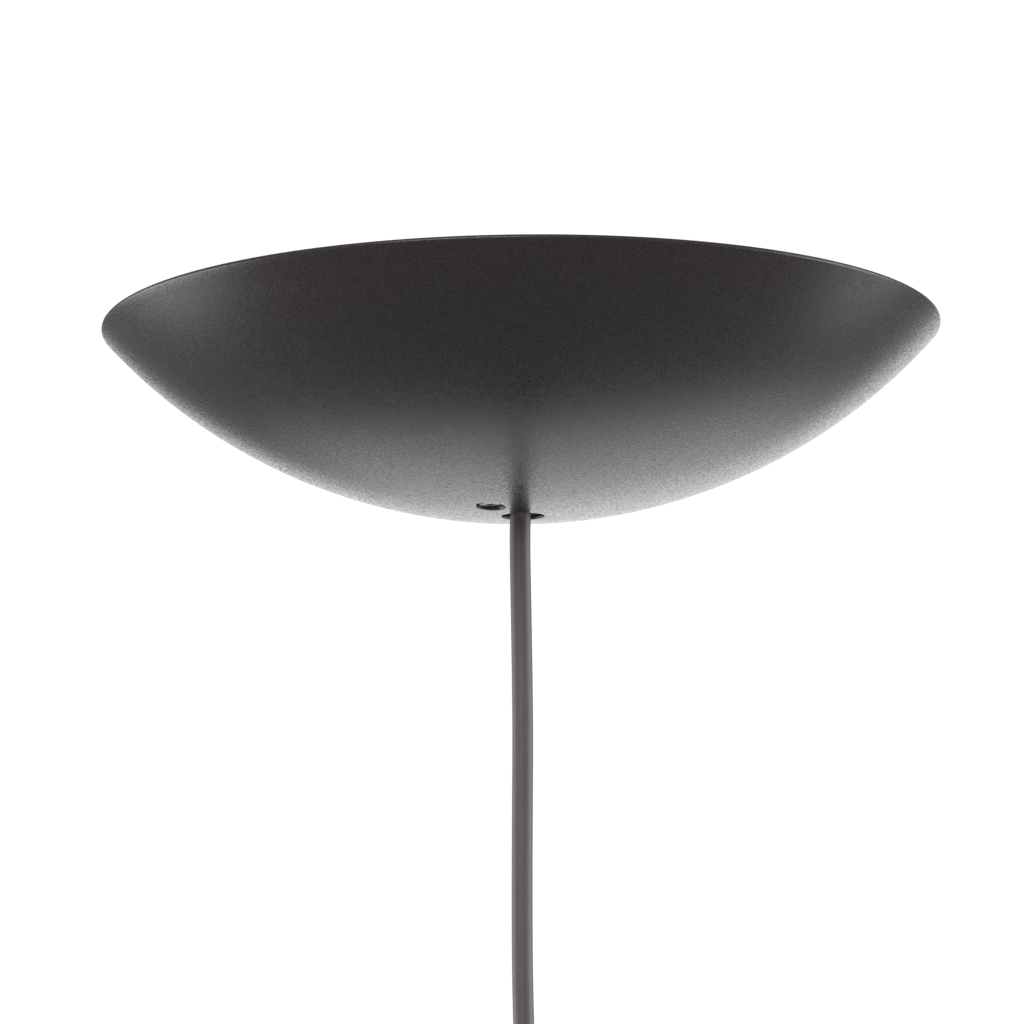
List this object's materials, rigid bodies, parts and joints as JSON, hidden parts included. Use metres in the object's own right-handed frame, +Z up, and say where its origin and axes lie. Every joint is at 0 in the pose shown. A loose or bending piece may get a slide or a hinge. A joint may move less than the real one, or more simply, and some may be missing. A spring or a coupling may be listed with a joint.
{
  "type": "pendant lamp suspension",
  "caption": "Shallow domed ceiling canopy on a steel bracket, with a clamped flex hanging from its centre hole to a screw lampholder.",
  "frame": {"origin": "on the ceiling plane, on the canopy's axis, at the centre of the ceiling plate's top face", "axes": "+Z up out of the ceiling, -Y towards the side that carries the canopy's fixing screw, +X along the ceiling plate towards the terminal block"},
  "size_m": [0.24, 0.24, 0.2848],
  "materials": {
    "powder_coat": "fine-textured dark bronze-black powder coat",
    "zinc_plated_steel": "bright zinc plate",
    "black_nylon": "moulded black nylon",
    "seal_rubber": "matt",
    "flex_sheath": "matt dark grey PVC sheath",
    "core_brown": "extruded PVC",
    "core_blue": "extruded PVC",
    "terminal_housing": "moulded natural polyamide",
    "brass": "drawn and turned brass",
    "holder_plastic": "moulded black PBT",
    "washer_fibre": "red vulcanised fibre",
    "insert_ceramic": "white glazed steatite"
  },
  "bodies": {
    "root": {"ceiling_plate": "zinc_plated_steel", "bracket_yoke": "zinc_plated_steel", "yoke_screw_left": "zinc_plated_steel", "yoke_screw_right": "zinc_plated_steel", "clinch_nut": "zinc_plated_steel", "earth_screw": "zinc_plated_steel", "earth_washer": "zinc_plated_steel", "gland_body": "black_nylon", "gland_locknut": "black_nylon", "gland_seal": "seal_rubber", "gland_cap_nut": "black_nylon", "terminal_block": "terminal_housing", "block_screw": "zinc_plated_steel", "terminal_tube_live": "brass", "terminal_tube_neutral": "brass", "clamp_screw_live_lamp": "zinc_plated_steel", "clamp_screw_live_supply": "zinc_plated_steel", "clamp_screw_neutral_lamp": "zinc_plated_steel", "clamp_screw_neutral_supply": "zinc_plated_steel", "live_core": "core_brown", "neutral_core": "core_blue", "flex": "flex_sheath", "holder_cap": "holder_plastic", "holder_grip_screw": "zinc_plated_steel", "holder_body": "holder_plastic", "holder_insert": "insert_ceramic", "screw_shell": "brass", "centre_contact": "brass", "contact_screw_live": "zinc_plated_steel", "contact_screw_neutral": "zinc_plated_steel", "holder_live_core": "core_brown", "holder_neutral_core": "core_blue"},
    "canopy": {"canopy": "powder_coat"},
    "fixing_washer": {"screw_washer": "black_nylon"},
    "fixing_screw": {"canopy_fixing_screw": "powder_coat"},
    "ring_washer": {"shade_washer": "washer_fibre"},
    "ring": {"shade_ring": "holder_plastic"}
  },
  "joints": [
    {"name": "canopy_drop", "type": "slide", "parent": "root", "child": "canopy", "axis": [0, 0, -1], "range_m": [0, 0.09]},
    {"name": "fixing_screw_travel", "type": "slide", "parent": "canopy", "child": "fixing_washer", "axis": [0, 0, -1], "range_m": [0, 0.0056]},
    {"name": "fixing_screw_turn", "type": "hinge", "parent": "fixing_washer", "child": "fixing_screw", "pos_m": [-0.00918, -0.01311, -0.05], "axis": [0, 0, -1], "range_deg": [0, 2880]},
    {"name": "shade_ring_travel", "type": "slide", "parent": "root", "child": "ring_washer", "axis": [0, 0, -1], "range_m": [0, 0.02]},
    {"name": "shade_ring_turn", "type": "hinge", "parent": "ring_washer", "child": "ring", "pos_m": [-0.0012, 0, -0.2574], "axis": [0, 0, -1], "range_deg": [0, 2880]}
  ],
  "couplings": [
    {"joint": "fixing_screw_turn", "follows": "fixing_screw_travel", "rad_per_m": 8976},
    {"joint": "shade_ring_turn", "follows": "shade_ring_travel", "rad_per_m": 2513.3}
  ]
}
